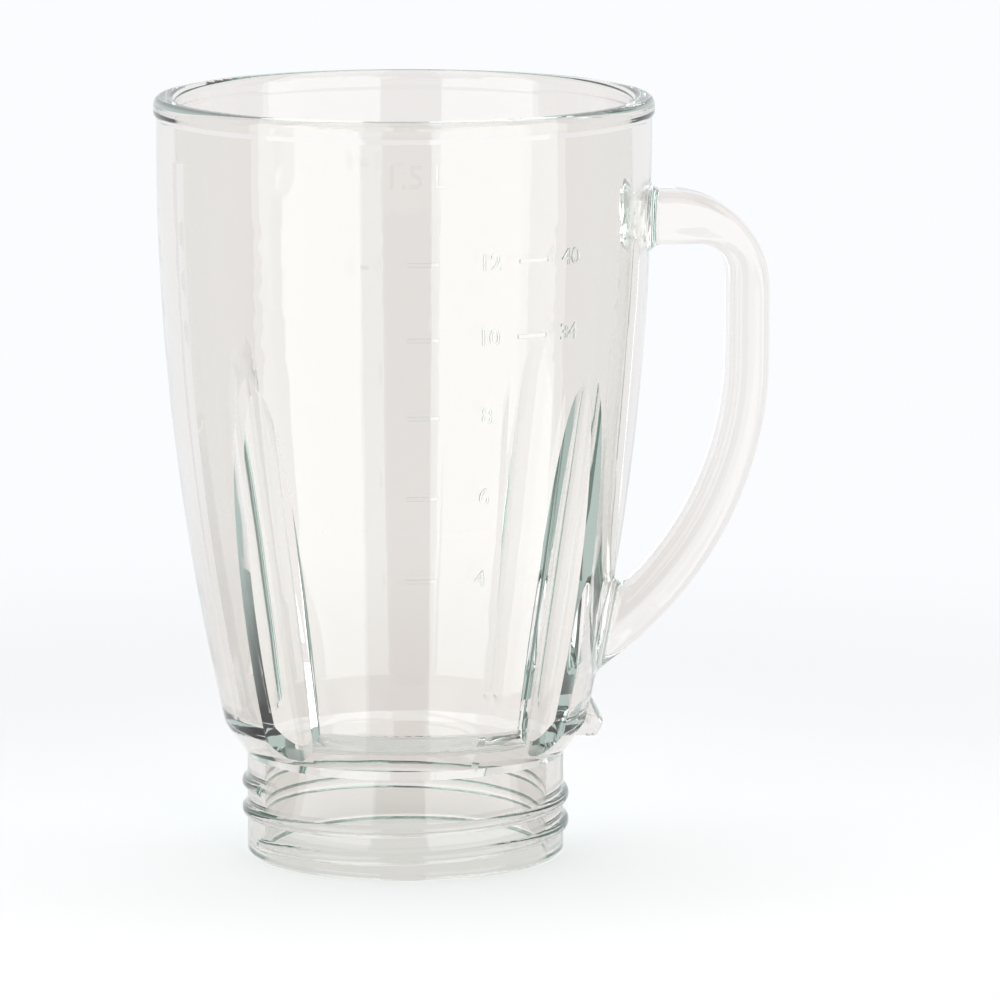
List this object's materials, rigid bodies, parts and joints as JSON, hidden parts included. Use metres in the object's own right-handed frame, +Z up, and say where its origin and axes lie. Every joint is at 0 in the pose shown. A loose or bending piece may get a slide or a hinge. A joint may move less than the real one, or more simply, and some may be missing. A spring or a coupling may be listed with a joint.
{
  "type": "glass blender jar",
  "caption": "Tapered pressed-glass jar for a kitchen blender, with a loop handle, arch-topped flutes, a round mouth and an open threaded neck for a blade base.",
  "frame": {"origin": "on the jar's axis, at the flat bottom rim of the neck", "axes": "+Z up along the axis towards the mouth, +X towards the handle"},
  "size_m": [0.1657, 0.1344, 0.206],
  "materials": {
    "clear_glass": "gloss"
  },
  "bodies": {
    "root": {"glass_jar": "clear_glass"}
  },
  "joints": []
}
